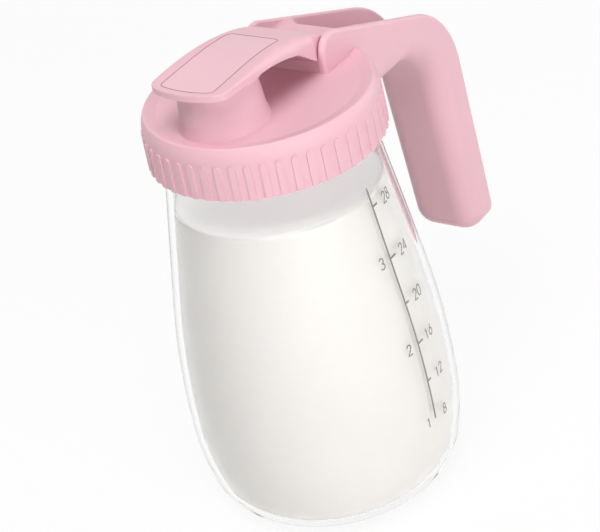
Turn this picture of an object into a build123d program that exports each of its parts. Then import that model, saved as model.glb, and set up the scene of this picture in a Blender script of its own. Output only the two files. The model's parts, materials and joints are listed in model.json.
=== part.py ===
"""Milk pitcher: a glass jar with a ribbed screw lid, a channel handle and a flip cap over its spout.

Millimetres, +Z up, origin at the centre of the jar's base, spout towards -X, handle towards +X.
Heights of the lid, the handle and the cap are measured up from the skirt's lower edge.
"""
from build123d import *

import os
from math import asin, atan2, cos, degrees, pi, radians, sin, sqrt, tan

os.makedirs("parts", exist_ok=True)

# Jar: a wide flat base, a full belly and a straight taper up to the neck
belly_r = 53.2
belly_z = 36.0
shoulder_corner_rise = 27.18
lower_arc_r = 100.0
base_corner_r = 16.0
neck_r = 39.0
neck_below_skirt = 1.6
glass_wall = 2.4
floor_thickness = 4.0
rim_round = 0.9

# Screw lid: skirt, shoulder and sunken top
skirt_edge_z = 150.4
thread_room = 2.0
skirt_wall = 3.05
skirt_draft_deg = 1.4
shoulder_z = 14.2
crest_z = 19.65
crest_inset = 2.1
crest_round = 0.8
dish_z = 18.6
dish_slope_width = 4.5
top_thickness = 2.2

# Grip ribs round the skirt
rib_count = 50
rib_width = 2.5
rib_height = 13.4
rib_proud = 0.45
rib_gap_at_handle = 0.8
rib_root_depth = 1.5

# Ring wall inside the lid, and the flat gasket that seals on the jar's rim
seal_wall_gap = 0.9
seal_wall_thickness = 1.3
seal_wall_depth = 4.2
gasket_thickness = 1.6
gasket_gap = 0.2
gasket_side_gap = 0.25

# Spout
spout_base_r = 16.7
spout_top_r = 14.3
spout_top_z = 35.2
spout_flare_r = 4.5
spout_flare_width = 1.2
spout_bore_r = 11.4
spout_mouth_r = 12.3
spout_lead_in = 3.4
spout_foot_gap = 0.35
spout_lip_round = 0.5

# Handle: arms over the lid's back, a bend and a leaning grip
nose_x = 25.0
nose_z = 25.3
nose_r = 7.0
arm_slope_deg = 21.1
arm_underside_z = -4.8
handle_half_width = 18.0
handle_taper_deg = 1.75
grip_inner_x = 86.5
grip_depth = 19.2
grip_lean_deg = 6.2
grip_inner_lean_deg = 7.2
grip_end_z = -101.6
inner_bend_r = 22.0
outer_bend_r = 38.0
grip_end_inner_r = 10.0
grip_heel = 3.6
heel_round_r = 2.8
outer_round_r = 1.5
palm_round_r = 9.0

# Channel moulded into the handle, open upwards and backwards
channel_wall = 2.8
channel_rise = 1.4
web_thickness = 3.2
web_front_setback = 0.3
channel_end_wall = 7.0
channel_corner_r = 3.5
channel_step_x = 43.5
channel_step_run = 8.5
rim_round_r = 0.9

# Hinge of the flip cap
pin_x = 25.2
pin_z = 26.6
pin_r = 1.5
pin_running_gap = 0.05
pin_seat_gap = 0.02
pin_end_gap = 0.15
pin_blind_skin = 1.0
pin_chamfer = 0.25
knuckle_r = 3.0
cheek_gap = 0.35
knuckle_front_room = 1.2
cap_nose_gap = 0.8

# Flip cap: crowned plate, thin over the spout and deep where it enters between the cheeks
cap_front_reach = 20.0
cap_crown_x = -15.0
cap_bend_x = 5.7
cap_back_x = 23.4
cap_front_top_z = 39.0
cap_crown_top_z = 39.8
cap_bend_top_z = 38.3
cap_back_top_z = 31.7
cap_front_half_width = 15.8
cap_crown_half_width = 17.1
cap_bend_half_width = 16.9
cap_plate_thickness = 2.5
cap_underside_z = 36.5
cap_underside_bend_x = -17.0
cap_front_bow = 3.4
cap_front_corner_r = 6.0
cap_front_edge_round = 0.4
cap_notch_x = 6.2
cap_notch_z = 32.3
cap_tip_x = 17.8
cap_side_wall = 2.7
cap_pocket_x = -4.0
cap_pocket_end_x = 15.5
cap_front_round = 1.2
cap_crown_round = 2.2
cap_bend_round = 4.5
cap_back_round = 1.4

# Plate let into the cap's top
inlay_front_margin = 2.6
inlay_front_bow = 1.6
inlay_back_x = 4.6
inlay_front_half_width = 11.4
inlay_back_half_width = 11.0
inlay_thickness = 1.0
inlay_corner_r = 2.2
inlay_seam = 0.18
inlay_bed_gap = 0.02

# Stopper under the cap, with its flange and its seal ring
flange_r = 16.8
flange_lift = 0.3
flange_side_gap = 0.1
stopper_r = 10.6
stopper_depth = 8.0
stopper_wall = 2.4
stopper_roof = 2.2
seal_section_r = 0.9
seal_drop = 4.6
seal_bore_gap = 0.1
seal_groove_gap = 0.05

# How far a cutting block runs past what it cuts, and how near two places count as the same
cutter_reach = 40.0
same_place = 0.1

# Places that follow from the sizes above
neck_foot_z = skirt_edge_z - neck_below_skirt
shoulder_turn = atan2(belly_r - neck_r, neck_foot_z - belly_z - shoulder_corner_rise)
shoulder_arc_r = shoulder_corner_rise / tan(shoulder_turn / 2)
skirt_inner_r = neck_r + thread_room
skirt_root_r = skirt_inner_r + skirt_wall
crest_r = skirt_root_r - crest_inset
seal_wall_r = neck_r - glass_wall - seal_wall_gap - seal_wall_thickness
spout_x = spout_base_r + dish_slope_width + spout_foot_gap - crest_r
cap_front_x = spout_x - cap_front_reach
inlay_front_x = cap_front_x + inlay_front_margin
lid_underside_z = dish_z - top_thickness
gasket_top_z = lid_underside_z - gasket_gap
gasket_bottom_z = gasket_top_z - gasket_thickness
rim_z = skirt_edge_z + gasket_bottom_z - gasket_gap
channel_floor_z = dish_z + web_thickness + channel_rise
lean = radians(grip_lean_deg)
inner_lean = radians(grip_inner_lean_deg)
arm_slope = radians(arm_slope_deg)
grip_outer_x = grip_inner_x + grip_depth / cos(lean)
cap_tip_z = pin_z - knuckle_r


def in_lid_frame(shape):
    """Lift a piece drawn from the skirt's lower edge to its place on the jar."""
    return Pos(0, 0, skirt_edge_z) * shape


def half_width_at(x):
    """Half the handle's width, which tapers from the cheeks to the grip."""
    return handle_half_width - (x - nose_x) * tan(radians(handle_taper_deg))


def cheek_inner_y():
    """Half the room between the cheeks at the hinge."""
    return half_width_at(pin_x) - channel_wall


def jar_outline(inset):
    """Half section of the jar, its outer face moved in by inset."""
    lower_centre = Vector(belly_r - lower_arc_r, 0, belly_z)
    corner_rise = belly_z - base_corner_r
    corner_reach = sqrt((lower_arc_r - base_corner_r) ** 2 - corner_rise ** 2)
    corner_centre = Vector(lower_centre.X + corner_reach, 0, base_corner_r)
    to_corner = (corner_centre - lower_centre).normalized()
    joint = lower_centre + to_corner * (lower_arc_r - inset)
    foot = Vector(corner_centre.X, 0, inset)
    halfway = (to_corner + Vector(0, 0, -1)).normalized()
    corner_middle = corner_centre + halfway * (base_corner_r - inset)
    belly = Vector(belly_r - inset, 0, belly_z)
    upper_centre = Vector(belly_r - shoulder_arc_r, 0, belly_z)
    upper_r = shoulder_arc_r - inset
    upper_end = upper_centre + Vector(cos(shoulder_turn), 0, sin(shoulder_turn)) * upper_r
    halfway_up = shoulder_turn / 2
    upper_middle = upper_centre + Vector(cos(halfway_up), 0, sin(halfway_up)) * upper_r
    neck_x = neck_r - inset
    neck_foot = Vector(neck_x, 0, upper_end.Z + (upper_end.X - neck_x) / tan(shoulder_turn))
    neck_top = Vector(neck_x, 0, rim_z)
    edges = [
        Line((0, 0, inset), foot),
        ThreePointArc(foot, corner_middle, joint),
        TangentArc(joint, belly, tangent=to_corner.cross(Vector(0, 1, 0))),
        ThreePointArc(belly, upper_middle, upper_end),
        Line(upper_end, neck_foot),
        Line(neck_foot, neck_top),
        Line(neck_top, (0, 0, rim_z)),
        Line((0, 0, rim_z), (0, 0, inset)),
    ]
    return make_face(edges)


def make_jar():
    outside = revolve(jar_outline(0), Axis.Z)
    inside = revolve(jar_outline(glass_wall), Axis.Z)
    above_floor = Pos(0, 0, floor_thickness + rim_z / 2) * Cylinder(belly_r, rim_z)
    jar = outside - (inside & above_floor)
    rim_edges = jar.edges().filter_by(GeomType.CIRCLE).group_by(Axis.Z)[-1]
    return fillet(rim_edges, rim_round)


def lid_outline(lowest_z):
    """Half section of everything inside the lid's outer face, down to lowest_z."""
    draft = tan(radians(skirt_draft_deg))
    edge = Vector(skirt_root_r, 0, 0)
    shoulder = Vector(skirt_root_r - shoulder_z * draft, 0, shoulder_z)
    crest = Vector(crest_r, 0, crest_z)
    slope_foot = Vector(crest_r - dish_slope_width, 0, dish_z)
    edges = [
        Line((0, 0, lowest_z), (skirt_root_r, 0, lowest_z)),
        Line((skirt_root_r, 0, lowest_z), edge) if lowest_z < 0 else None,
        Line(edge, shoulder),
        TangentArc(shoulder, crest, tangent=shoulder - edge),
        Line(crest, slope_foot),
        Line(slope_foot, (0, 0, dish_z)),
        Line((0, 0, dish_z), (0, 0, lowest_z)),
    ]
    return make_face([edge_line for edge_line in edges if edge_line])


def make_ribs():
    """Raised strips with round tops, left out where the handle meets the skirt."""
    rib_root = skirt_root_r - rib_root_depth
    strip = Rectangle(rib_width, rib_height - rib_width / 2, align=(Align.CENTER, Align.MIN))
    strip += Pos(0, rib_height - rib_width / 2) * Circle(rib_width / 2)
    rib = extrude(Plane.YZ * strip, skirt_root_r + rib_proud - rib_root)
    rib = Pos(rib_root, 0, 0) * Rot(0, -skirt_draft_deg, 0) * rib
    handle_edge = degrees(asin((half_width_at(skirt_root_r) + rib_gap_at_handle) / skirt_root_r))
    clear_of_handle = handle_edge + degrees(rib_width / 2 / skirt_root_r)
    ribs = []
    for number in range(rib_count):
        bearing = number * 360 / rib_count - 180
        if abs(bearing) > clear_of_handle:
            ribs.append(Rot(0, 0, bearing) * rib)
    return ribs


def make_spout_outside():
    """Flared foot, tapering tube and soft lip of the spout."""
    tube_foot_r = spout_base_r - spout_flare_width
    flare_top_z = dish_z + spout_flare_r
    foot = Vector(spout_base_r, 0, dish_z)
    flare_top = Vector(tube_foot_r, 0, flare_top_z)
    lip = Vector(spout_top_r, 0, spout_top_z)
    edges = [
        Line((0, 0, lid_underside_z), (spout_base_r, 0, lid_underside_z)),
        Line((spout_base_r, 0, lid_underside_z), foot),
        TangentArc(flare_top, foot, tangent=flare_top - lip),
        Line(flare_top, lip),
        Line(lip, (0, 0, spout_top_z)),
        Line((0, 0, spout_top_z), (0, 0, lid_underside_z)),
    ]
    return Pos(spout_x, 0, 0) * revolve(make_face(edges), Axis.Z)


def make_spout_bore():
    """Through bore of the spout, with a lead-in cone at its mouth."""
    seat_z = spout_top_z - spout_lead_in
    corners = [
        (0, 0, 0),
        (spout_bore_r, 0, 0),
        (spout_bore_r, 0, seat_z),
        (spout_mouth_r, 0, spout_top_z),
        (spout_mouth_r, 0, spout_top_z + cutter_reach),
        (0, 0, spout_top_z + cutter_reach),
    ]
    return Pos(spout_x, 0, 0) * revolve(make_face(Polyline(*corners, close=True)), Axis.Z)


def make_screw_lid():
    cap = revolve(lid_outline(0), Axis.Z)
    cap = fillet(cap.edges().filter_by(GeomType.CIRCLE).group_by(Axis.Z)[-1], crest_round)
    cap = cap + make_ribs() + make_spout_outside()
    inside = Pos(0, 0, lid_underside_z / 2) * Cylinder(skirt_inner_r, lid_underside_z)
    wall_z = lid_underside_z - seal_wall_depth / 2
    seal_wall = Pos(0, 0, wall_z) * Cylinder(seal_wall_r + seal_wall_thickness, seal_wall_depth)
    seal_wall -= Pos(0, 0, wall_z) * Cylinder(seal_wall_r, seal_wall_depth)
    lid = cap - inside + seal_wall - make_spout_bore()
    lip = lid.edges().filter_by(GeomType.CIRCLE).filter_by(
        lambda edge: abs(edge.center().Z - spout_top_z) < same_place)
    return fillet(lip, spout_lip_round)


def handle_side_view():
    """Outline of the handle seen from the side, closed inside the lid."""
    along_arm = Vector(cos(arm_slope), 0, -sin(arm_slope))
    down_grip = Vector(sin(lean), 0, -cos(lean))
    down_inner = Vector(sin(inner_lean), 0, -cos(inner_lean))
    nose = Vector(nose_x, 0, nose_z)
    nose_front = nose - Vector(nose_r, 0, 0)
    nose_top = nose + Vector(sin(arm_slope), 0, cos(arm_slope)) * nose_r
    front_foot = Vector(nose_front.X, 0, arm_underside_z)
    outer_run = (grip_outer_x - nose_top.X) * cos(lean) - nose_top.Z * sin(lean)
    outer_run /= along_arm.X * cos(lean) + along_arm.Z * sin(lean)
    outer_corner = nose_top + along_arm * outer_run
    outer_end = Vector(grip_outer_x - grip_end_z * tan(lean), 0, grip_end_z)
    heel_top = outer_end - down_grip * grip_heel
    heel_foot = outer_end - Vector(grip_heel, 0, 0)
    inner_end = Vector(grip_inner_x - grip_end_z * tan(inner_lean), 0, grip_end_z)
    inner_corner = Vector(grip_inner_x - arm_underside_z * tan(inner_lean), 0, arm_underside_z)
    outer_turn = pi / 2 - lean - arm_slope
    inner_turn = pi / 2 - inner_lean
    outer_tangent = outer_bend_r * tan(outer_turn / 2)
    inner_tangent = inner_bend_r * tan(inner_turn / 2)
    outer_in = outer_corner - along_arm * outer_tangent
    outer_out = outer_corner + down_grip * outer_tangent
    inner_in = inner_corner + down_inner * inner_tangent
    inner_out = inner_corner - Vector(inner_tangent, 0, 0)
    edges = [
        Line(front_foot, nose_front),
        TangentArc(nose_front, nose_top, tangent=(0, 0, 1)),
        Line(nose_top, outer_in),
        TangentArc(outer_in, outer_out, tangent=along_arm),
        Line(outer_out, heel_top),
        Line(heel_top, heel_foot),
        Line(heel_foot, inner_end),
        Line(inner_end, inner_in),
        TangentArc(inner_in, inner_out, tangent=-1 * down_inner),
        Line(inner_out, front_foot),
    ]
    return make_face(edges)


def between_sides(inset):
    """Tapered block that holds the handle's width, moved in by inset on each side."""
    near_x = 0
    far_x = grip_outer_x + cutter_reach
    corners = [
        (near_x, -half_width_at(near_x) + inset),
        (far_x, -half_width_at(far_x) + inset),
        (far_x, half_width_at(far_x) - inset),
        (near_x, half_width_at(near_x) - inset),
    ]
    plan = make_face(Polyline(*corners, close=True))
    return extrude(Pos(0, 0, grip_end_z - cutter_reach) * plan, nose_z - grip_end_z + 2 * cutter_reach)


def channel_side_view():
    """Outline of the hollow: shallow over the lid, deep along the arms and the grip."""
    down_inner = Vector(sin(inner_lean), 0, -cos(inner_lean))
    step_top = Vector(channel_step_x, 0, channel_floor_z)
    step_foot = Vector(channel_step_x + channel_step_run, 0, arm_underside_z + web_thickness)
    web_x = grip_inner_x + web_thickness / cos(inner_lean)
    corner = Vector(web_x - step_foot.Z * tan(inner_lean), 0, step_foot.Z)
    bend_r = inner_bend_r + web_thickness
    tangent_run = bend_r * tan((pi / 2 - inner_lean) / 2)
    bend_in = corner - Vector(tangent_run, 0, 0)
    bend_out = corner + down_inner * tangent_run
    end_z = grip_end_z + channel_end_wall
    grip_end = Vector(web_x - end_z * tan(inner_lean), 0, end_z)
    open_x = grip_outer_x + cutter_reach
    open_z = nose_z + cutter_reach
    edges = [
        Line((0, 0, channel_floor_z), step_top),
        Line(step_top, step_foot),
        Line(step_foot, bend_in),
        TangentArc(bend_in, bend_out, tangent=(1, 0, 0)),
        Line(bend_out, grip_end),
        Line(grip_end, (open_x, 0, end_z)),
        Line((open_x, 0, end_z), (open_x, 0, open_z)),
        Line((open_x, 0, open_z), (0, 0, open_z)),
        Line((0, 0, open_z), (0, 0, channel_floor_z)),
    ]
    return make_face(edges)


def is_at_side(edge):
    """True for an edge that runs along one side of the handle, not across its middle."""
    return abs(edge.center().Y) > handle_half_width / 3


def make_channel():
    """The hollow itself, rounded where its web meets its walls."""
    hollow = extrude(channel_side_view(), handle_half_width * 2, both=True) & between_sides(channel_wall)
    web_end_x = grip_outer_x - grip_end_z * tan(lean)

    def is_on_web(edge):
        middle = edge.center()
        along = nose_x - nose_r < middle.X < web_end_x - channel_corner_r
        return is_at_side(edge) and along and middle.Z < channel_floor_z + same_place

    foot = hollow.edges().filter_by(is_on_web)
    return fillet(foot, channel_corner_r)


def make_handle():
    body = extrude(handle_side_view(), handle_half_width * 2, both=True) & between_sides(0)
    across = body.edges().filter_by(Axis.Y)
    end_edges = across.filter_by(lambda edge: abs(edge.center().Z - grip_end_z) < same_place).sort_by(Axis.X)
    body = fillet(end_edges[0], grip_end_inner_r)

    def is_palm_side(edge):
        middle = edge.center()
        inner_face_x = grip_inner_x - middle.Z * tan(inner_lean)
        under = middle.Z < arm_underside_z + same_place and middle.X < inner_face_x + grip_depth / 3
        at_end = middle.Z < grip_end_z + same_place
        return is_at_side(edge) and (under or at_end)

    def reach_over_arm(point):
        """Distance from the nose's centre, square to the arm's top."""
        return (point.X - nose_x) * sin(arm_slope) + (point.Z - nose_z) * cos(arm_slope)

    def is_arm_top(edge):
        on_top = abs(reach_over_arm(edge.center()) - nose_r) < same_place
        return is_at_side(edge) and on_top and edge.length > 2 * nose_r

    def is_inner_rim(edge):
        middle = edge.center()
        inside = half_width_at(middle.X) - channel_wall
        on_wall = abs(abs(middle.Y) - inside) < same_place
        on_arm = abs(reach_over_arm(middle) - nose_r) < same_place
        on_grip = abs(middle.X - grip_outer_x + middle.Z * tan(lean)) < same_place
        return on_wall and (on_arm or on_grip)

    body = fillet(body.edges().filter_by(is_palm_side), palm_round_r)
    heel_edges = body.edges().filter_by(Axis.Y).sort_by(lambda edge: edge.center().Z - edge.center().X)
    body = fillet(heel_edges[0:2], heel_round_r)
    top_edges = body.edges().filter_by(is_arm_top)
    body = fillet(top_edges, outer_round_r)
    body -= make_channel()
    inner_rim = body.edges().filter_by(is_inner_rim)
    body = fillet(inner_rim, rim_round_r)
    web_front = nose_x - nose_r + web_front_setback
    notch = Box(web_front, 2 * (half_width_at(nose_x) - channel_wall), channel_floor_z + nose_r,
                align=(Align.MIN, Align.CENTER, Align.MIN))
    body -= notch
    knuckle_room = Box(
        pin_x + knuckle_r + knuckle_front_room - web_front, 2 * cheek_inner_y(), 2 * nose_r,
        align=(Align.MIN, Align.CENTER, Align.MIN))
    body -= Pos(web_front, 0, channel_floor_z) * knuckle_room
    body -= revolve(lid_outline(arm_underside_z - cutter_reach), Axis.Z)
    return body


def make_pin_bores(radius):
    """Pin hole across the cheeks, blind on the -Y side."""
    blind_y = -half_width_at(pin_x) + pin_blind_skin
    bore = Pos(pin_x, blind_y, pin_z) * Rot(-90, 0, 0) * Cylinder(
        radius, 2 * handle_half_width, align=(Align.CENTER, Align.CENTER, Align.MIN))
    return bore


def make_hinge_pin():
    start_y = -half_width_at(pin_x) + pin_blind_skin + pin_end_gap
    end_y = half_width_at(pin_x) - pin_end_gap
    pin = Pos(pin_x, start_y, pin_z) * Rot(-90, 0, 0) * Cylinder(
        pin_r, end_y - start_y, align=(Align.CENTER, Align.CENTER, Align.MIN))
    return chamfer(pin.edges().filter_by(GeomType.CIRCLE), pin_chamfer)


def cap_section(x, half_width, top_z, side_round):
    """Cross-section of the cap's outside at x, run on below the cap's lowest tip."""
    foot_z = cap_tip_z - cutter_reach
    side_z = top_z - side_round
    flat = half_width - side_round
    edges = [
        Line((x, -half_width, foot_z), (x, -half_width, side_z)),
        TangentArc((x, -half_width, side_z), (x, -flat, top_z), tangent=(0, 0, 1)),
        Line((x, -flat, top_z), (x, flat, top_z)),
        TangentArc((x, flat, top_z), (x, half_width, side_z), tangent=(0, 1, 0)),
        Line((x, half_width, side_z), (x, half_width, foot_z)),
        Line((x, half_width, foot_z), (x, -half_width, foot_z)),
    ]
    return make_face(edges)


def make_cap_outside():
    """Crowned bar that all the cap's outer faces are cut from."""
    neck_half_width = cheek_inner_y() - cheek_gap
    sections = [
        cap_section(cap_front_x - cap_front_round, cap_front_half_width, cap_front_top_z, cap_front_round),
        cap_section(cap_crown_x, cap_crown_half_width, cap_crown_top_z, cap_crown_round),
        cap_section(cap_bend_x, cap_bend_half_width, cap_bend_top_z, cap_bend_round),
        cap_section(cap_back_x, neck_half_width, cap_back_top_z, cap_back_round),
    ]
    return loft(sections)


def cap_side_view():
    """What is left of the bar seen from the side: thin plate in front, deep tongue at the hinge."""
    before_x = cap_front_x - cutter_reach
    above_z = cap_crown_top_z + cutter_reach
    bend = (cap_underside_bend_x, 0, cap_underside_z)
    notch = (cap_notch_x, 0, cap_notch_z)
    tip = (cap_tip_x, 0, cap_tip_z)
    edges = [
        Line((before_x, 0, cap_underside_z), bend),
        TangentArc(bend, notch, tangent=(1, 0, 0)),
        Line(notch, tip),
        Line(tip, (cap_back_x, 0, cap_tip_z)),
        Line((cap_back_x, 0, cap_tip_z), (cap_back_x, 0, above_z)),
        Line((cap_back_x, 0, above_z), (before_x, 0, above_z)),
        Line((before_x, 0, above_z), (before_x, 0, cap_underside_z)),
    ]
    return make_face(edges)


def make_cap_front():
    """Plan outline of the cap's bowed front with its round corners, clear of the cap's sides."""
    corner_x = cap_front_x + cap_front_bow
    wide = cap_crown_half_width + cap_front_round
    corner_y = cap_front_half_width + same_place
    edges = [
        ThreePointArc((corner_x, -corner_y), (cap_front_x, 0), (corner_x, corner_y)),
        Line((corner_x, corner_y), (cap_crown_x, wide)),
        Line((cap_crown_x, wide), (nose_x, wide)),
        Line((nose_x, wide), (nose_x, -wide)),
        Line((nose_x, -wide), (cap_crown_x, -wide)),
        Line((cap_crown_x, -wide), (corner_x, -corner_y)),
    ]
    plan = make_face(edges)
    plan = fillet(plan.vertices().sort_by(Axis.X)[0:2], cap_front_corner_r)
    return extrude(plan, cap_crown_top_z + cutter_reach)


def make_knuckle():
    """Barrel of the cap, turning on the pin between the cheeks."""
    barrel = Pos(pin_x, 0, pin_z) * Rot(90, 0, 0) * Cylinder(knuckle_r, 2 * (cheek_inner_y() - cheek_gap))
    rear = Pos(cap_back_x, 0, pin_z) * Box(
        pin_x - cap_back_x, 2 * (cheek_inner_y() - cheek_gap), knuckle_r,
        align=(Align.MIN, Align.CENTER, Align.MAX))
    return barrel + rear


def make_inlay_outline(grow):
    """Upright block over the inlay's outline, grown by grow on every side."""
    front_x = inlay_front_x - grow
    back_x = inlay_back_x + grow
    front_y = inlay_front_half_width + grow
    back_y = inlay_back_half_width + grow
    front_corner_x = front_x + inlay_front_bow
    edges = [
        ThreePointArc((front_corner_x, -front_y), (front_x, 0), (front_corner_x, front_y)),
        Line((front_corner_x, front_y), (back_x, back_y)),
        Line((back_x, back_y), (back_x, -back_y)),
        Line((back_x, -back_y), (front_corner_x, -front_y)),
    ]
    plan = make_face(edges)
    plan = fillet(plan.vertices(), inlay_corner_r + grow)
    return extrude(plan, cap_crown_top_z + cutter_reach)


def make_flip_cap():
    outside = make_cap_outside()
    cap = outside & extrude(cap_side_view(), 2 * cap_crown_half_width, both=True) & make_cap_front()
    front_edges = cap.edges().filter_by(
        lambda edge: edge.center().X < cap_front_x + cap_front_bow + cap_front_corner_r
        and edge.center().Z > (cap_underside_z + cap_front_top_z) / 2)
    cap = fillet(front_edges, cap_front_edge_round)
    nose_front_x = nose_x - nose_r
    for side in (-1, 1):
        beside_neck = Box(cutter_reach, cutter_reach, cutter_reach, align=(Align.MIN, Align.MIN, Align.CENTER))
        beside_neck = Pos(nose_front_x - cap_nose_gap, cheek_inner_y() - cheek_gap, nose_z) * beside_neck
        cap -= beside_neck if side > 0 else mirror(beside_neck, Plane.XZ)
    pocket = Pos(cap_pocket_x, 0, 0) * Box(
        cap_pocket_end_x - cap_pocket_x, 2 * (cheek_inner_y() - cheek_gap - cap_side_wall), cap_crown_top_z,
        align=(Align.MIN, Align.CENTER, Align.MIN))
    cap -= pocket & (Pos(0, 0, -cap_plate_thickness) * outside)
    cap += make_knuckle()
    cap -= Pos(pin_x, 0, pin_z) * Rot(90, 0, 0) * Cylinder(pin_r + pin_running_gap, 3 * handle_half_width)
    cap -= Pos(spout_x, 0, 0) * Cylinder(
        flange_r + flange_side_gap, cap_underside_z, align=(Align.CENTER, Align.CENTER, Align.MIN))
    bed_drop = inlay_thickness + inlay_bed_gap
    cap -= make_inlay_outline(inlay_seam) - Pos(0, 0, -bed_drop) * outside
    return cap


def make_cap_inlay():
    outside = make_cap_outside()
    return (outside & make_inlay_outline(0)) - Pos(0, 0, -inlay_thickness) * outside


def make_spout_plug():
    """Flange over the spout's lip, with a hollow stopper grooved for its seal ring."""
    flange_z = spout_top_z + flange_lift
    end_z = spout_top_z - stopper_depth
    groove_r = spout_bore_r - seal_bore_gap - 2 * seal_section_r - seal_groove_gap
    groove_half = seal_section_r + seal_groove_gap
    seal_z = spout_top_z - seal_drop
    hollow_r = stopper_r - stopper_wall
    corners = [
        (0, 0, cap_underside_z),
        (flange_r, 0, cap_underside_z),
        (flange_r, 0, flange_z),
        (stopper_r, 0, flange_z),
        (stopper_r, 0, seal_z + groove_half),
        (groove_r, 0, seal_z + groove_half),
        (groove_r, 0, seal_z - groove_half),
        (stopper_r, 0, seal_z - groove_half),
        (stopper_r, 0, end_z),
        (hollow_r, 0, end_z),
        (hollow_r, 0, cap_underside_z - stopper_roof),
        (0, 0, cap_underside_z - stopper_roof),
    ]
    return Pos(spout_x, 0, 0) * revolve(make_face(Polyline(*corners, close=True)), Axis.Z)


def make_plug_seal():
    ring_r = spout_bore_r - seal_bore_gap - seal_section_r
    return Pos(spout_x, 0, spout_top_z - seal_drop) * Torus(ring_r, seal_section_r)


def make_lid_gasket():
    outer_r = skirt_inner_r - gasket_side_gap
    inner_r = seal_wall_r + seal_wall_thickness + gasket_side_gap
    flat_ring = Cylinder(outer_r, gasket_thickness) - Cylinder(inner_r, gasket_thickness)
    return Pos(0, 0, (gasket_top_z + gasket_bottom_z) / 2) * flat_ring


if __name__ == "__main__":
    handle = make_handle() - make_pin_bores(pin_r + pin_seat_gap)
    pieces = {
        "jar": make_jar(),
        "screw_lid": in_lid_frame(make_screw_lid()),
        "handle": in_lid_frame(handle),
        "hinge_pin": in_lid_frame(make_hinge_pin()),
        "lid_gasket": in_lid_frame(make_lid_gasket()),
        "flip_cap": in_lid_frame(make_flip_cap()),
        "cap_inlay": in_lid_frame(make_cap_inlay()),
        "spout_plug": in_lid_frame(make_spout_plug()),
        "plug_seal": in_lid_frame(make_plug_seal()),
    }
    for name, piece in pieces.items():
        export_step(piece, f"parts/{name}.step")
        print(name, round(piece.volume), "mm3, valid", piece.is_valid, "solids", len(piece.solids()))
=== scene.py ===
# %% [markdown]
# # A milk pitcher, dressed over its packed model
# The packed model already holds every solid of the pitcher: the glass jar, the screw lid, the handle
# with its hinge pin, the gasket, the flip cap with its let-in plate, the stopper and its seal ring.
# This lesson adds what a solid can't carry: the camera, soft studio light, the finishes, the milk,
# the screw threads, the printed scale and the hair line of painted shade round the plate. Everything
# is in metres, in the packed model's own frame, so a new piece goes where the solids say and needs
# no fitting by eye.

# %% Load the packed model
import json
import math

import bmesh
import bpy
import numpy as np
from mathutils import Matrix, Vector


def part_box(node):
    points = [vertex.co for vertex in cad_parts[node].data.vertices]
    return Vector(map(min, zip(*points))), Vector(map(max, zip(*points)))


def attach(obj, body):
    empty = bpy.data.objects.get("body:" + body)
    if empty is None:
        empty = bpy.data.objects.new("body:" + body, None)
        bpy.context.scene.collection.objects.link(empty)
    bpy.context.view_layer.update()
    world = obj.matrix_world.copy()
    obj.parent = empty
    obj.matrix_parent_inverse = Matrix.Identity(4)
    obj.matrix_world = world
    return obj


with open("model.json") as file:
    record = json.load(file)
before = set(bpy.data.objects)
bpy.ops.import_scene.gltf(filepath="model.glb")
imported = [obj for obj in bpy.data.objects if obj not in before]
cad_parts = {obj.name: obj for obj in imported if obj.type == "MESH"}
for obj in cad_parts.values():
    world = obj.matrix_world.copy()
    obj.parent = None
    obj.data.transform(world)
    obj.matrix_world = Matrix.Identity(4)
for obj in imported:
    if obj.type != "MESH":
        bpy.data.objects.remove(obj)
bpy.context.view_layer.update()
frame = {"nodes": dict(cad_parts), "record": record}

MM = 0.001
print("nodes:", ", ".join(sorted(frame["nodes"])))

# %% [markdown]
# ## The camera
# The photograph was taken with a long lens from above the spout's side, and the picture leans, so
# the pitcher seems to tip while it really stands. A camera is a place and three directions. We work
# out the level directions from a turn and a height first, then roll right and up about the view
# line. A long lens far away keeps the lid's ovals as flat as they are in the picture.

# %% Stand the camera
camera_turn = math.radians(-49.232)
camera_height = math.radians(31.569)
camera_roll = math.radians(12.437)
camera_distance = 667.54 * MM
camera_side_step = 11.628 * MM
camera_drop = 46.606 * MM
lens_mm = 110.41
sensor_mm = 36.0
skirt_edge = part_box("screw_lid")[0].z


def bearing(turn, height):
    """Unit vector from the object to a viewer: turn 0 stands at -Y, and 90 degrees at +X."""
    level = math.cos(height)
    return Vector((math.sin(turn) * level, -math.cos(turn) * level, math.sin(height)))


toward_camera = bearing(camera_turn, camera_height)
level_right = Vector((math.cos(camera_turn), math.sin(camera_turn), 0))
level_up = toward_camera.cross(level_right)
camera_right = level_right * math.cos(camera_roll) - level_up * math.sin(camera_roll)
camera_up = level_right * math.sin(camera_roll) + level_up * math.cos(camera_roll)
camera_place = Vector((0, 0, skirt_edge)) + toward_camera * camera_distance
camera_place += camera_right * camera_side_step - camera_up * camera_drop

camera_data = bpy.data.cameras.new("picture_camera")
camera_data.lens = lens_mm
camera_data.sensor_width = sensor_mm
camera = bpy.data.objects.new("picture_camera", camera_data)
bpy.context.scene.collection.objects.link(camera)
turned = Matrix((camera_right, camera_up, toward_camera)).transposed().to_4x4()
camera.matrix_world = Matrix.Translation(camera_place) @ turned
bpy.context.scene.camera = camera
print("camera at", [round(value, 4) for value in camera_place])

# %% [markdown]
# ## Shader maths as plain Python
# A finish is a tree of nodes. Wiring every Math node by hand hides the idea behind bookkeeping, so a
# small class wraps one socket and lets Python's operators add the Math nodes. With the reflected
# forms, a number may also stand first, as in 1 - mask.

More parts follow.
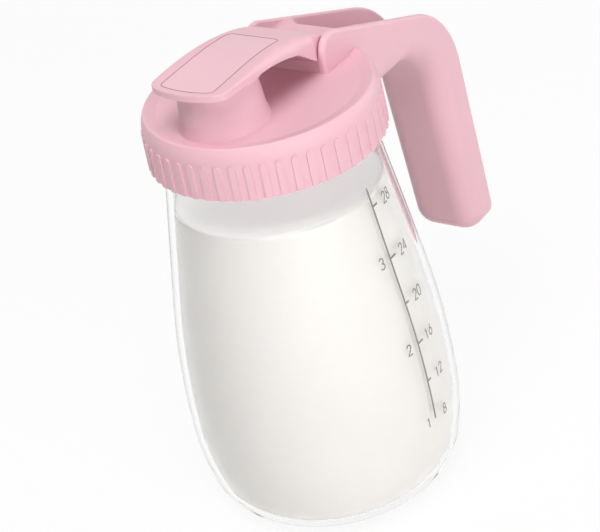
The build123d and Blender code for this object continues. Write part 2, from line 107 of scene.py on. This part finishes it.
# %% A wire
class Wire:
    """One output socket that Python's operators work on."""

    def __init__(self, owner, socket):
        self.owner = owner
        self.socket = socket

    def math(self, operation, first, second):
        return self.owner.node("ShaderNodeMath", {"operation": operation}, {0: first, 1: second})

    def __add__(self, other):
        return self.math("ADD", self, other)

    def __radd__(self, other):
        return self.math("ADD", other, self)

    def __sub__(self, other):
        return self.math("SUBTRACT", self, other)

    def __rsub__(self, other):
        return self.math("SUBTRACT", other, self)

    def __mul__(self, other):
        return self.math("MULTIPLY", self, other)

    def __rmul__(self, other):
        return self.math("MULTIPLY", other, self)

    def or_if_larger(self, other):
        return self.math("MAXIMUM", self, other)

    def is_below(self, limit):
        return self.math("LESS_THAN", self, limit)


print("a wire takes:", ", ".join(name for name in vars(Wire) if not name.startswith("__")), "and + - *")

# %% [markdown]
# A second class stands for a tree of nodes, of a material or of the world. Its one method adds any
# node: it sets the node's settings first, because they decide which sockets there are, and then
# feeds the sockets with plain values or with wires. A finish is such a tree with a Principled shader
# in it, and with the few mixes and noises that the pitcher's finishes share. Its noises run from 0
# to 1, and one helper stretches such a noise over the range of a roughness.

# %% A tree of nodes, and a finish
class NodeTree:
    """A tree of nodes under way."""

    def __init__(self, tree):
        self.tree = tree

    def node(self, kind, settings, inputs, output=0):
        """Add a node, set its settings, feed its sockets and hand back one output as a wire."""
        made = self.tree.nodes.new(kind)
        for name, value in settings.items():
            setattr(made, name, value)
        for name, value in inputs.items():
            self.feed(made.inputs[name], value)
        return Wire(self, made.outputs[output])

    def feed(self, socket, value):
        """Link a wire to a socket, or set the socket to a plain value."""
        if isinstance(value, Wire):
            self.tree.links.new(value.socket, socket)
        else:
            socket.default_value = value


class Finish(NodeTree):
    """A material under way. Its surface is one Principled shader."""

    def __init__(self, name):
        self.material = bpy.data.materials.new(name)
        self.material.use_nodes = True
        super().__init__(self.material.node_tree)
        self.shader = self.tree.nodes["Principled BSDF"]
        self.place = self.node("ShaderNodeTexCoord", {}, {}, "Object")

    def set(self, **sockets):
        """Feed the shader's own sockets: base_color stands for Base Color."""
        for name, value in sockets.items():
            title = name.replace("_", " ").title().replace("Ior", "IOR")
            self.feed(self.shader.inputs[title], value)

    def noise(self, size, detail):
        """Smooth noise from 0 to 1 whose blobs are about size metres across."""
        sockets = {"Vector": self.place, "Scale": 1 / size, "Detail": detail}
        return self.node("ShaderNodeTexNoise", {}, sockets, "Fac")

    def between(self, share, low, high):
        """A colour from low to high by share."""
        settings = {"data_type": "RGBA"}
        return self.node("ShaderNodeMix", settings, {0: share, 6: low, 7: high}, 2)

    def share_between(self, value, start, full):
        """0 where value is start or less, 1 where it is full or more, and even in between."""
        return self.node("ShaderNodeMapRange", {}, {0: value, 1: start, 2: full, 3: 0.0, 4: 1.0})

    def relief(self, height, depth):
        """Feed the normal from a height wire, depth metres deep."""
        sockets = {"Height": height, "Distance": depth, "Strength": 1.0}
        self.set(normal=self.node("ShaderNodeBump", {}, sockets, "Normal"))


def spread(noise, low, high):
    """A number that goes from low to high as a noise goes from 0 to 1."""
    return low + noise * (high - low)


print("a finish can:", ", ".join(name for name in vars(Finish) if not name.startswith("__")))

# %% [markdown]
# Colours are written here as a screen shows them, from 0 to 255, since that is how they are read
# from a picture. Shaders take linear light, so one function turns the first into the second. Another
# puts a finish on the packed nodes by filling their material slots.

# %% Colours, and dressing a node
def from_screen(red, green, blue):
    """A colour as a screen shows it, 0 to 255, in the linear values that shaders take."""
    linear = []
    for value in (red, green, blue):
        share = value / 255
        linear.append(share / 12.92 if share <= 0.04045 else ((share + 0.055) / 1.055) ** 2.4)
    return (*linear, 1.0)


def dress(finish, *names):
    for name in names:
        for slot in frame["nodes"][name].material_slots:
            slot.material = finish.material
    print(finish.material.name, "on", ", ".join(names))


print("half of the screen's range is", round(from_screen(128, 128, 128)[0], 3), "of the light")

# %% [markdown]
# ## Pink moulded plastic
# The lid, the handle and the cap come from steel moulds with a fine spark-eroded grain, so their
# sheen is wide and soft. The colour of such polypropylene drifts a little with its thickness and
# flow. Two noises give that: a wide one that mixes two near pinks, and a fine one, a third of a
# millimetre across, that feeds the roughness and a very shallow relief. The let-in plate is its own
# moulding, a shade lighter and smoother.

# %% Pink plastic
grain_size = 0.30 * MM
grain_depth = 0.012 * MM
roughness_swing = 0.05
drift_size = 38 * MM


def pink_plastic(name, light, deep, mean_roughness):
    finish = Finish(name)
    grain = finish.noise(grain_size, detail=3.0)
    drift = finish.noise(drift_size, detail=1.0)
    finish.set(
        base_color=finish.between(drift, deep, light),
        roughness=spread(grain, mean_roughness - roughness_swing, mean_roughness + roughness_swing),
        ior=1.49,
        specular_ior_level=0.42,
        subsurface_weight=0.06,
        subsurface_scale=0.6 * MM,
    )
    finish.relief(grain, grain_depth)
    return finish


body_light = from_screen(233, 187, 198)
body_deep = from_screen(230, 183, 194)
plate_light = from_screen(235, 191, 201)
plate_deep = from_screen(233, 188, 199)
body_pink = pink_plastic("pink_plastic_grained", body_light, body_deep, mean_roughness=0.46)
plate_pink = pink_plastic("pink_plastic_smooth", plate_light, plate_deep, mean_roughness=0.40)
dress(body_pink, "screw_lid", "handle", "flip_cap", "spout_plug")
dress(plate_pink, "cap_inlay")

# %% [markdown]
# ## Clear glass
# The jar is a real shell in the model, with an outer and an inner face, so light bends on its way in
# and straightens on its way out. With the index of real glass, the wall would show its surroundings
# bent and mirrored along the jar's edge. In the picture the edge is clear, so the index is kept low
# here. A jar that bends light so little has no outline against white, so the outline is painted shade:
# Layer Weight finds the places that the view grazes, and the tint goes grey there. On a real jar such
# light also runs a long way through the wall and comes out weaker. That draws the fine line round the
# jar. Elsewhere a wide noise keeps the tint from being perfectly even.

# %% Glass
ripple_size = 26 * MM
clear_green = (0.985, 0.988, 0.985, 1.0)
clear_warm = (0.995, 0.995, 0.990, 1.0)
painted_edge_shade = (0.50, 0.51, 0.52, 1.0)
edge_starts = 0.78
edge_is_full = 0.97
glass_index = 1.06

glass = Finish("clear_glass_pressed")
clear = glass.between(glass.noise(ripple_size, detail=0.0), clear_green, clear_warm)
grazing = glass.node("ShaderNodeLayerWeight", {}, {"Blend": 0.5}, "Facing")
painted_edge_share = glass.share_between(grazing, edge_starts, edge_is_full)
glass.set(
    # painted shade: the tint turns grey where the view grazes the wall, which draws the jar's outline
    base_color=glass.between(painted_edge_share, clear, painted_edge_shade),
    roughness=0.0,
    ior=glass_index,
    transmission_weight=1.0,
)
dress(glass, "jar")

# %% [markdown]
# ## Silicone and steel
# The gasket under the lid and the ring round the stopper are white silicone: matt, a little
# see-through at the edges and faintly blotched. The hinge pin is a piece of steel rod, rubbed smooth
# lengthwise: fine scratches run along it, so a noise drawn out that way drives its roughness.

# %% Silicone
bloom_size = 2.2 * MM
bloom_depth = 0.01 * MM

silicone = Finish("white_silicone_matt")
bloom = silicone.noise(bloom_size, detail=2.0)
silicone.set(
    base_color=silicone.between(bloom, from_screen(232, 232, 229), from_screen(244, 244, 241)),
    roughness=spread(bloom, 0.50, 0.62),
    subsurface_weight=0.15,
    subsurface_scale=1.0 * MM,
)
silicone.relief(bloom, bloom_depth)
dress(silicone, "lid_gasket", "plug_seal")

# %% Steel
scratches_per_metre = 9000.0
drawn_out_along_pin = (1.0, 0.06, 1.0)
scratch_depth = 0.002 * MM

steel = Finish("steel_ground")
stretched = steel.node("ShaderNodeMapping", {}, {"Vector": steel.place, "Scale": drawn_out_along_pin})
scratch_sockets = {"Vector": stretched, "Scale": scratches_per_metre, "Detail": 2.0}
scratch = steel.node("ShaderNodeTexNoise", {}, scratch_sockets, "Fac")
steel.set(
    base_color=steel.between(scratch, from_screen(186, 187, 189), from_screen(208, 209, 211)),
    metallic=1.0,
    roughness=spread(scratch, 0.20, 0.38),
)
steel.relief(scratch, scratch_depth)
dress(steel, "hinge_pin")

# %% [markdown]
# ## Reading the jar's own outline
# The milk and the print have to follow the glass exactly. The jar's shape isn't repeated here as
# numbers: its packed mesh is a surface turned about the Z axis, so the corners of its faces give the
# radius at each height. Faces that look outward give the outer outline, and faces that look at the
# axis give the inner one.

# %% Outlines of the jar
least_sideways_look = 0.05


def outline_of(node, facing):
    """Heights and radii of a turned node's outer face (facing 1) or inner face (facing -1)."""
    mesh = frame["nodes"][node].data
    radius_at = {}
    for face in mesh.polygons:
        outward = Vector((face.center.x, face.center.y, 0)).normalized()
        if facing * face.normal.dot(outward) > least_sideways_look:
            for index in face.vertices:
                corner = mesh.vertices[index].co
                radius_at[round(corner.z, 5)] = math.hypot(corner.x, corner.y)
    heights = sorted(radius_at)
    return heights, [radius_at[height] for height in heights]


outer_heights, outer_radii = outline_of("jar", 1)
inner_heights, inner_radii = outline_of("jar", -1)


def outer_radius(height):
    return float(np.interp(height, outer_heights, outer_radii))


def inner_radius(height):
    return float(np.interp(height, inner_heights, inner_radii))


print("rows outside and inside:", len(outer_heights), len(inner_heights))

# %% [markdown]
# ## Making a mesh object
# Each new piece is points and faces worked out in code. One helper turns them into an object, makes
# the faces look outward, shades them smooth where they should be, and gives the piece its finish
# and the body it rides on.

# %% A mesh object
def make_piece(name, points, faces, finish, body, smooth=True):
    """One mesh object from points and faces, riding on a body of the packed model."""
    shape = bmesh.new()
    corners = [shape.verts.new(point) for point in points]
    for face in faces:
        shape.faces.new([corners[index] for index in face])
    bmesh.ops.recalc_face_normals(shape, faces=shape.faces)
    mesh = bpy.data.meshes.new(name)
    shape.to_mesh(mesh)
    shape.free()
    for polygon in mesh.polygons:
        polygon.use_smooth = smooth
    mesh.materials.append(finish.material)
    piece = bpy.data.objects.new(name, mesh)
    bpy.context.scene.collection.objects.link(piece)
    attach(piece, body)
    print(name, "has", len(mesh.polygons), "faces and rides on", body)


# %% [markdown]
# All the new pieces are tubes of some kind: rows of points, each row a closed loop, with faces
# between neighbouring rows. The two ends of such a tube are either capped or joined to each other.
# The milk is a capped tube that is turned about the jar's axis.

# %% Tubes
def side_faces(rows, around):
    """Faces between neighbouring rows of points, each row a closed loop of around points."""
    faces = []
    for row in range(rows - 1):
        low, high = row * around, (row + 1) * around
        for step in range(around):
            after = (step + 1) % around
            faces.append((low + step, low + after, high + after, high + step))
    return faces


def capped_tube(rows, around):
    """Faces of a tube whose two ends are shut."""
    last = (rows - 1) * around
    return [*side_faces(rows, around), tuple(range(around)), tuple(range(last, last + around))]


def looped_tube(rows, around):
    """Faces of a tube whose last row joins its first."""
    last = (rows - 1) * around
    faces = side_faces(rows, around)
    for step in range(around):
        after = (step + 1) % around
        faces.append((last + step, last + after, after, step))
    return faces


def turned_body(rings, around):
    """Points and faces of a capped body turned about Z, from (radius, height) rings."""
    points = []
    for radius, height in rings:
        for step in range(around):
            turn = 2 * math.pi * step / around
            points.append((radius * math.cos(turn), radius * math.sin(turn), height))
    return points, capped_tube(len(rings), around)


print("3 rows of 4 points:", len(capped_tube(3, 4)), "faces capped,", len(looped_tube(3, 4)), "looped")

# %% [markdown]
# ## The milk
# The picture shows the jar filled with milk to a finger's width under the lid. Milk touches the glass
# all round, climbs it by a hair and is level in between. The body is turned from the inner outline
# with a gap too thin to see, which keeps its face and the glass from fighting over the same place.
# Light inside the wall that grazes this thin layer of air is thrown back, so a clear band about as
# wide as the wall stays round the milk. A body that reached a hair into the wall would look as if it
# filled the jar up to its outline.

# %% The milk's rings
milk_level = skirt_edge - 18.3 * MM
milk_gap = 0.12 * MM
creep_height = 0.7 * MM
creep_width = 2.4 * MM
creep_steepness = 2.5
floor_shares = (0.25, 0.6, 0.9)
creep_shares = (0.12, 0.3, 0.55, 1.0)
top_shares = (0.7, 0.4, 0.1)
wall_rows = 64
crowding_at_floor = 1.5
milk_sides = 128

milk_floor = inner_heights[0] + milk_gap
wall_height = milk_level + creep_height - milk_floor
milk_rings = [(share * inner_radius(milk_floor), milk_floor) for share in floor_shares]
for row in range(wall_rows + 1):
    height = milk_floor + wall_height * (row / wall_rows) ** crowding_at_floor
    milk_rings.append((inner_radius(height) - milk_gap, height))
milk_edge = inner_radius(milk_level) - milk_gap
for share in creep_shares:
    rise = creep_height * (1 - share) ** creep_steepness
    milk_rings.append((milk_edge - creep_width * share, milk_level + rise))
for share in top_shares:
    milk_rings.append((milk_edge * share, milk_level))
print("the milk stands", round(milk_level / MM, 1), "mm high in", len(milk_rings), "rings")

# %% [markdown]
# Milk is a warm white, and light goes a little way in, which softens its shading. The soft coat is
# the wet glass that it clings to. The top lies in the lid's shade, and a weak glow is painted on it to
# lift it. The glow stands for light that entered through the milk's side and comes out of the top, from
# further away than this shallow scatter reaches. The normal's Z tells the level top from the sides.

# %% The milk's finish
cream_size = 30 * MM
cream_depth = 0.01 * MM
top_starts = 0.80
painted_top_glow = 0.48
no_light = (0.0, 0.0, 0.0, 1.0)

milk_white = Finish("milk_white")
cream = milk_white.noise(cream_size, detail=1.0)
normal = milk_white.node("ShaderNodeTexCoord", {}, {}, "Normal")
upward = milk_white.node("ShaderNodeSeparateXYZ", {}, {0: normal}, "Z")
top_share = milk_white.share_between(upward, top_starts, 1.0)
milk_white.set(
    base_color=milk_white.between(cream, from_screen(252, 246, 241), from_screen(253, 248, 244)),
    roughness=spread(cream, 0.30, 0.36),
    coat_weight=1.0,
    coat_roughness=0.25,
    coat_ior=1.5,
    subsurface_weight=0.3,
    subsurface_radius=(1.0, 0.9, 0.75),
    subsurface_scale=3.0 * MM,
    # painted light: a glow on the level top lifts it out of the lid's shade
    emission_color=milk_white.between(top_share, no_light, from_screen(236, 253, 252)),
    emission_strength=painted_top_glow,
)
milk_white.relief(cream, cream_depth)
points, faces = turned_body(milk_rings, milk_sides)
make_piece("milk", points, faces, milk_white, "jar_body")

# %% [markdown]
# ## The screw threads
# The lid turns on the neck, so both carry a thread, hidden under the skirt until the lid comes off.
# The model couples the lift to the turn, and that coupling is the thread's pitch. A thread is one
# ridge swept along a helix. Its section is a blunt wedge, which grows from almost nothing at one end
# of the ridge and fades out at the other. The lid's thread lies half a pitch above the jar's, so
# that the two never touch.

# %% A thread's section and sweep
half_foot = 0.95 * MM
half_shoulder = 0.4375 * MM
half_crest = 0.1925 * MM
shoulder_reach = 0.75
thread_turns = 1.75
steps_per_turn = 96
fade_steps = steps_per_turn // 8
least_reach = 0.02


def wedge(root_radius, reach):
    """The ridge's six corners, as radius and rise. A negative reach points at the axis."""
    shoulder = root_radius + reach * shoulder_reach
    crest = root_radius + reach
    upper = [(crest, half_crest), (shoulder, half_shoulder), (root_radius, half_foot)]
    lower = [(radius, -rise) for radius, rise in reversed(upper)]
    return lower + upper


corners_around = len(wedge(0.0, 0.0))


def make_thread(name, root_radius, reach, foot, finish, body):
    """A ridge that climbs round the Z axis from a foot height, and fades out at both ends."""
    steps = round(thread_turns * steps_per_turn)
    points = []
    for step in range(steps + 1):
        turn = 2 * math.pi * step / steps_per_turn
        middle = foot + pitch * step / steps_per_turn
        fade = min(1.0, step / fade_steps, (steps - step) / fade_steps)
        grown = reach * max(least_reach, math.sin(fade * math.pi / 2))
        for radius, rise in wedge(root_radius, grown):
            points.append((radius * math.cos(turn), radius * math.sin(turn), middle + rise))
    make_piece(name, points, capped_tube(steps + 1, corners_around), finish, body)


print("a thread's section has", corners_around, "corners and is", round(2 * half_foot / MM, 2), "mm high")

# %% Both threads
lift_per_radian = frame["record"]["behaviour"]["couplings"][0]["ratio"]
pitch = 2 * math.pi * lift_per_radian
neck_radius = outer_radius(skirt_edge + 6 * MM)
lid_bore = neck_radius + 2.0 * MM
thread_bite = 1.15 * MM
thread_sink = 0.05 * MM
thread_foot = skirt_edge + 3.2 * MM
jar_root = neck_radius - thread_sink
lid_root = lid_bore + thread_sink
full_reach = thread_bite + thread_sink
make_thread("jar_thread", jar_root, full_reach, thread_foot, glass, "jar_body")
make_thread("lid_thread", lid_root, -full_reach, thread_foot + pitch / 2, body_pink, "lid")
print("thread pitch", round(pitch / MM, 2), "mm")

# %% [markdown]
# ## The printed scale
# A thin upright line, short ticks and plain numbers are printed in grey on the glass, a hair proud
# of it. Letters from a font would be flat and far too bold, so each numeral is drawn as a pen would
# draw it: a few strokes of bows and straight runs in a box one unit high. A stroke then becomes a
# thin ribbon, and every point of it is wrapped on the glass by its way round and its height.

# %% Wrapping a flat drawing on the glass
scale_bearing = math.radians(-92.0)
print_lift = 0.02 * MM
print_thickness = 0.05 * MM
print_face = print_lift + print_thickness
ribbon_section = ((-0.5, print_lift), (0.5, print_lift), (0.5, print_face), (-0.5, print_face))


def on_glass(across, height, lift):
    """A point on the jar, across metres round from the scale's line and height metres up."""
    radius = outer_radius(height)
    turn = scale_bearing + across / radius
    radius += lift
    return radius * math.cos(turn), radius * math.sin(turn), height


class Print:
    """Collects ribbons of ink that become one piece."""

    def __init__(self):
        self.points = []
        self.faces = []

    def stroke(self, path, width, closed=False):
        """A ribbon of ink along a path of (across, height) points."""
        count = len(path)
        base = len(self.points)
        for index, (across, height) in enumerate(path):
            before = path[index - 1] if index or closed else path[0]
            after = path[(index + 1) % count] if index < count - 1 or closed else path[-1]
            run = Vector((after[0] - before[0], after[1] - before[1])).normalized()
            over = Vector((-run.y, run.x)) * width
            for share, lift in ribbon_section:
                self.points.append(on_glass(across + share * over.x, height + share * over.y, lift))
        tube = looped_tube if closed else capped_tube
        for face in tube(count, len(ribbon_section)):
            self.faces.append(tuple(base + corner for corner in face))


print("the scale's line stands", round(outer_radius(skirt_edge / 2) / MM, 1), "mm from the axis")

# %% [markdown]
# A numeral is a list of strokes. A bow is part of an oval, given by its middle, its two half sizes
# and the angles where it starts and ends, in degrees, counted from the right and going left round.
# The 0 and the 8 are made of whole ovals, whose strokes run back into themselves.

# %% Numerals
def bow(middle_x, middle_y, reach_x, reach_y, start, end, steps=14):
    points = []
    for step in range(steps + 1):
        angle = math.radians(start + (end - start) * step / steps)
        points.append((middle_x + reach_x * math.cos(angle), middle_y + reach_y * math.sin(angle)))
    return points


def oval(middle_x, middle_y, reach_x, reach_y, steps):
    return bow(middle_x, middle_y, reach_x, reach_y, 0, 360, steps)[:-1]


NUMERALS = {
    "0": [oval(0.28, 0.5, 0.26, 0.5, 32)],
    "1": [[(0.14, 0.80), (0.32, 1.0), (0.32, 0.5), (0.32, 0.0)]],
    "2": [bow(0.28, 0.73, 0.25, 0.27, 165, -35) + [(0.02, 0.0), (0.30, 0.0), (0.56, 0.0)]],
    "3": [bow(0.26, 0.75, 0.23, 0.25, 155, -90) + bow(0.26, 0.25, 0.26, 0.25, 90, -155)],
    "4": [[(0.56, 0.26), (0.30, 0.26), (0.0, 0.26), (0.42, 1.0), (0.42, 0.5), (0.42, 0.0)]],
    "6": [[(0.42, 1.0), (0.24, 0.68)] + bow(0.28, 0.30, 0.26, 0.30, 150, 490, 28)],
    "8": [oval(0.28, 0.76, 0.20, 0.24, 24), oval(0.28, 0.26, 0.26, 0.26, 28)],
}
closed_numerals = "08"
numeral_height = 4.3 * MM
numeral_width = 0.56
numeral_step = 0.74
pen_width = 0.52 * MM


def write_number(ink, text, middle_across, middle_height):
    """Write plain numerals centred on a place."""
    width = numeral_step * (len(text) - 1) + numeral_width
    for index, numeral in enumerate(text):
        left = middle_across + (index * numeral_step - width / 2) * numeral_height
        low = middle_height - numeral_height / 2
        for path in NUMERALS[numeral]:
            placed = [(left + x * numeral_height, low + y * numeral_height) for x, y in path]
            ink.stroke(placed, pen_width, closed=numeral in closed_numerals)


print("numerals drawn:", " ".join(NUMERALS))

# %% [markdown]
# The ticks stand where the picture shows them: closer together towards the belly, because the jar
# holds more in each millimetre there. Two of them are longer, where a tick serves both rows. The
# tables hold millimetres: a tick's height up the jar and its length, and a number's way round from
# the line and its height.

# %% The scale
line_top = 136.8 * MM
line_foot = 37.5 * MM
line_width = 0.80 * MM
line_steps = 100
ticks = {"28": (129.2, 2.9), "24": (107.9, 3.6), "20": (88.9, 2.2), "16": (71.5, 3.4), "12": (54.7, 2.2)}
right_row = {"28": (9.5, 128.6), "24": (9.4, 107.4), "20": (8.7, 88.5), "16": (8.2, 71.6),
             "12": (8.6, 54.2), "8": (7.0, 37.2)}
left_row = {"3": (-4.6, 108.4), "2": (-5.2, 71.9), "1": (-4.2, 38.0)}

lines = Print()
drop = (line_foot - line_top) / line_steps
lines.stroke([(0.0, line_top + drop * step) for step in range(line_steps + 1)], line_width)
for height, length in ticks.values():
    lines.stroke([(length * MM * share, height * MM) for share in (0.0, 0.5, 1.0)], line_width)

numbers = Print()
for text, (across, height) in [*right_row.items(), *left_row.items()]:
    write_number(numbers, text, across * MM, height * MM)
print("the scale has", len(ticks), "ticks and", len(right_row) + len(left_row), "numbers")

# %% [markdown]
# A scale on glass is mostly screen-printed in enamel and then fired. Such a print is thin, so a fine
# noise lets its grey and its gloss vary a little, and gives it a trace of relief.

# %% The scale's ink
wear_size = 1.6 * MM
wear_depth = 0.004 * MM

ink = Finish("grey_scale_ink")
wear = ink.noise(wear_size, detail=2.0)
ink.set(
    base_color=ink.between(wear, from_screen(124, 120, 116), from_screen(136, 132, 128)),
    roughness=spread(wear, 0.45, 0.55),
)
ink.relief(wear, wear_depth)
make_piece("scale_lines", lines.points, lines.faces, ink, "jar_body", smooth=False)
make_piece("scale_numbers", numbers.points, numbers.faces, ink, "jar_body", smooth=False)

# %% [markdown]
# ## The painted shade of the seam round the let-in plate
# The plate in the flip cap sits in its bed with a seam just under a fifth of a millimetre wide. The
# picture shows it as a hair line, the shade in the gap, darker than the plastic. The plate's own
# mesh says where it runs: along the edges between a face that looks up and one that looks to the
# side. A flat ribbon follows them, laid over the seam, and that shade is painted on it in dark pink.

# %% The plate's rim
same_corner = 0.002 * MM
looks_up = 0.6
looks_sideways = 0.3


def upper_rim(node):
    """The corners round a node's upper face, in order."""
    shape = bmesh.new()
    shape.from_mesh(frame["nodes"][node].data)
    bmesh.ops.remove_doubles(shape, verts=shape.verts, dist=same_corner)
    beside = {}
    for edge in shape.edges:
        rises = sorted(face.normal.z for face in edge.link_faces)
        if len(rises) == 2 and rises[0] < looks_sideways and rises[1] > looks_up:
            first, second = edge.verts
            beside.setdefault(first.index, []).append(second.index)
            beside.setdefault(second.index, []).append(first.index)
    shape.verts.ensure_lookup_table()
    path = [min(beside)]
    path.append(beside[path[0]][0])
    while path[-1] != path[0]:
        onward = [index for index in beside[path[-1]] if index != path[-2]]
        path.append(onward[0])
    corners = [shape.verts[index].co.copy() for index in path[:-1]]
    shape.free()
    return corners


rim = upper_rim("cap_inlay")
print("corners round the plate:", len(rim))

# %% The ribbon over the seam
seam_inside = -0.06 * MM
seam_outside = 0.24 * MM
seam_low = 0.01 * MM
seam_high = 0.04 * MM
seam_section = ((seam_inside, seam_low), (seam_outside, seam_low),
                (seam_outside, seam_high), (seam_inside, seam_high))
shade_and_dust_size = 1.5 * MM

middle = sum(rim, Vector()) / len(rim)
seam_points = []
for index, corner in enumerate(rim):
    run = rim[(index + 1) % len(rim)] - rim[index - 1]
    outward = run.cross(Vector((0, 0, 1))).normalized()
    if outward.dot(corner - middle) < 0:
        outward = -outward
    for across, lift in seam_section:
        seam_points.append(corner + outward * across + Vector((0, 0, lift)))
seam_faces = looped_tube(len(rim), len(seam_section))

# painted shade: a dark pink ribbon over the seam stands for the shade inside its gap
seam_shade = Finish("seam_shade")
shade_and_dust = seam_shade.noise(shade_and_dust_size, detail=1.0)
seam_shade.set(
    base_color=seam_shade.between(shade_and_dust, from_screen(138, 92, 101), from_screen(158, 110, 119)),
    roughness=spread(shade_and_dust, 0.6, 0.7),
)
make_piece("inlay_seam_shade", seam_points, seam_faces, seam_shade, "cap", smooth=False)

# %% [markdown]
# ## Floor and background
# The picture has no room in it: everything round the pitcher is white. The floor is a wide plain
# sheet. Lit alone it would come out grey towards the horizon, so for rays that come from the camera,
# a mirror or through glass, most of its brightness is its own. A share of lit white stays in it, and
# that share carries the pitcher's soft shadow. The world does the same behind the floor, and gives
# the pitcher itself only a little light. The Light Path node tells the rays apart. A ray that has
# left a matt surface carries light to it, so it never counts as seen.

# %% Rays that are seen
def share_of_seen_rays(tree):
    """1 for what the camera sees straight, in a reflection or through glass, else 0."""

    def ray(question):
        return tree.node("ShaderNodeLightPath", {}, {}, question)

    mirrored_or_through = ray("Is Glossy Ray").or_if_larger(ray("Is Transmission Ray"))
    seen = ray("Is Camera Ray").or_if_larger(mirrored_or_through)
    return seen * ray("Diffuse Depth").is_below(0.5)


# %% Floor
floor_radius = 6.0
floor_sides = 96
floor_own_light = 0.90
grit_size = 120 * MM
white = (1.0, 1.0, 1.0, 1.0)

floor_white = Finish("floor_white")
grit = floor_white.noise(grit_size, detail=1.0)
floor_white.set(
    base_color=floor_white.between(grit, from_screen(250, 250, 250), from_screen(253, 253, 253)),
    roughness=0.9,
    specular_ior_level=0.1,
)
glow = floor_white.node("ShaderNodeEmission", {}, {"Color": white, "Strength": 1.0}, "Emission")
mixed = floor_white.node("ShaderNodeMixShader", {}, {
    0: share_of_seen_rays(floor_white) * floor_own_light,
    1: Wire(floor_white, floor_white.shader.outputs["BSDF"]),
    2: glow,
}, "Shader")
floor_white.feed(floor_white.tree.nodes["Material Output"].inputs["Surface"], mixed)

sheet = bmesh.new()
bmesh.ops.create_circle(sheet, cap_ends=True, segments=floor_sides, radius=floor_radius)
floor_mesh = bpy.data.meshes.new("floor")
sheet.to_mesh(floor_mesh)
sheet.free()
floor_mesh.materials.append(floor_white.material)
floor = bpy.data.objects.new("floor", floor_mesh)
bpy.context.scene.collection.objects.link(floor)
print("the floor is", 2 * floor_radius, "m across")

# %% World
room_light = 0.12
world = bpy.data.worlds.new("white_room")
bpy.context.scene.world = world
world.use_nodes = True
room = NodeTree(world.node_tree)
background = world.node_tree.nodes["Background"]
unseen = 1 - share_of_seen_rays(room)
room.feed(background.inputs["Color"], white)
room.feed(background.inputs["Strength"], 1 - unseen * (1 - room_light))
print("the room lights the pitcher at", room_light, "of what the camera sees")

# %% [markdown]
# ## Soft studio light
# Large square panels give the shapes their turn from light to shade. The main one stands high above
# the camera's side and lights the tops. The second is low in front, a little to the right, and
# lights the milk and the handle's near side, which leaves the milk's left side in shade as in the
# picture. A weak one on the right brightens the handle's back, and a weaker one behind keeps the far
# side from going dull. Their strengths add up to a plain level, at which the pink comes out about as
# it is written.

# %% Lights
aim_point = Vector((0, 0, 110 * MM))
panel_distance = 1.4
panel_size = 0.9


def panel(name, turn_from_camera, height, watts):
    """A square lamp, turned from the camera's side to the right by some degrees."""
    lamp_data = bpy.data.lights.new(name, "AREA")
    lamp_data.shape = "SQUARE"
    lamp_data.size = panel_size
    lamp_data.energy = watts
    lamp = bpy.data.objects.new(name, lamp_data)
    bpy.context.scene.collection.objects.link(lamp)
    direction = bearing(camera_turn + math.radians(turn_from_camera), math.radians(height))
    lamp.location = aim_point + direction * panel_distance
    lamp.rotation_mode = "QUATERNION"
    lamp.rotation_quaternion = (-direction).to_track_quat("-Z", "Y")
    print(name, watts, "W at", [round(value, 2) for value in lamp.location])


panel("top_panel", -15, 68, 15.2)
panel("front_panel", 25, 12, 9.3)
panel("side_panel", 110, 12, 4.2)
panel("back_panel", -148, 30, 3.2)

# %% [markdown]
# ## Colours on screen
# The dressed pitcher has to keep the size of the packed one. The Standard view shows a colour as it
# is written.

# %% Finish
bpy.context.scene.view_settings.view_transform = "Standard"
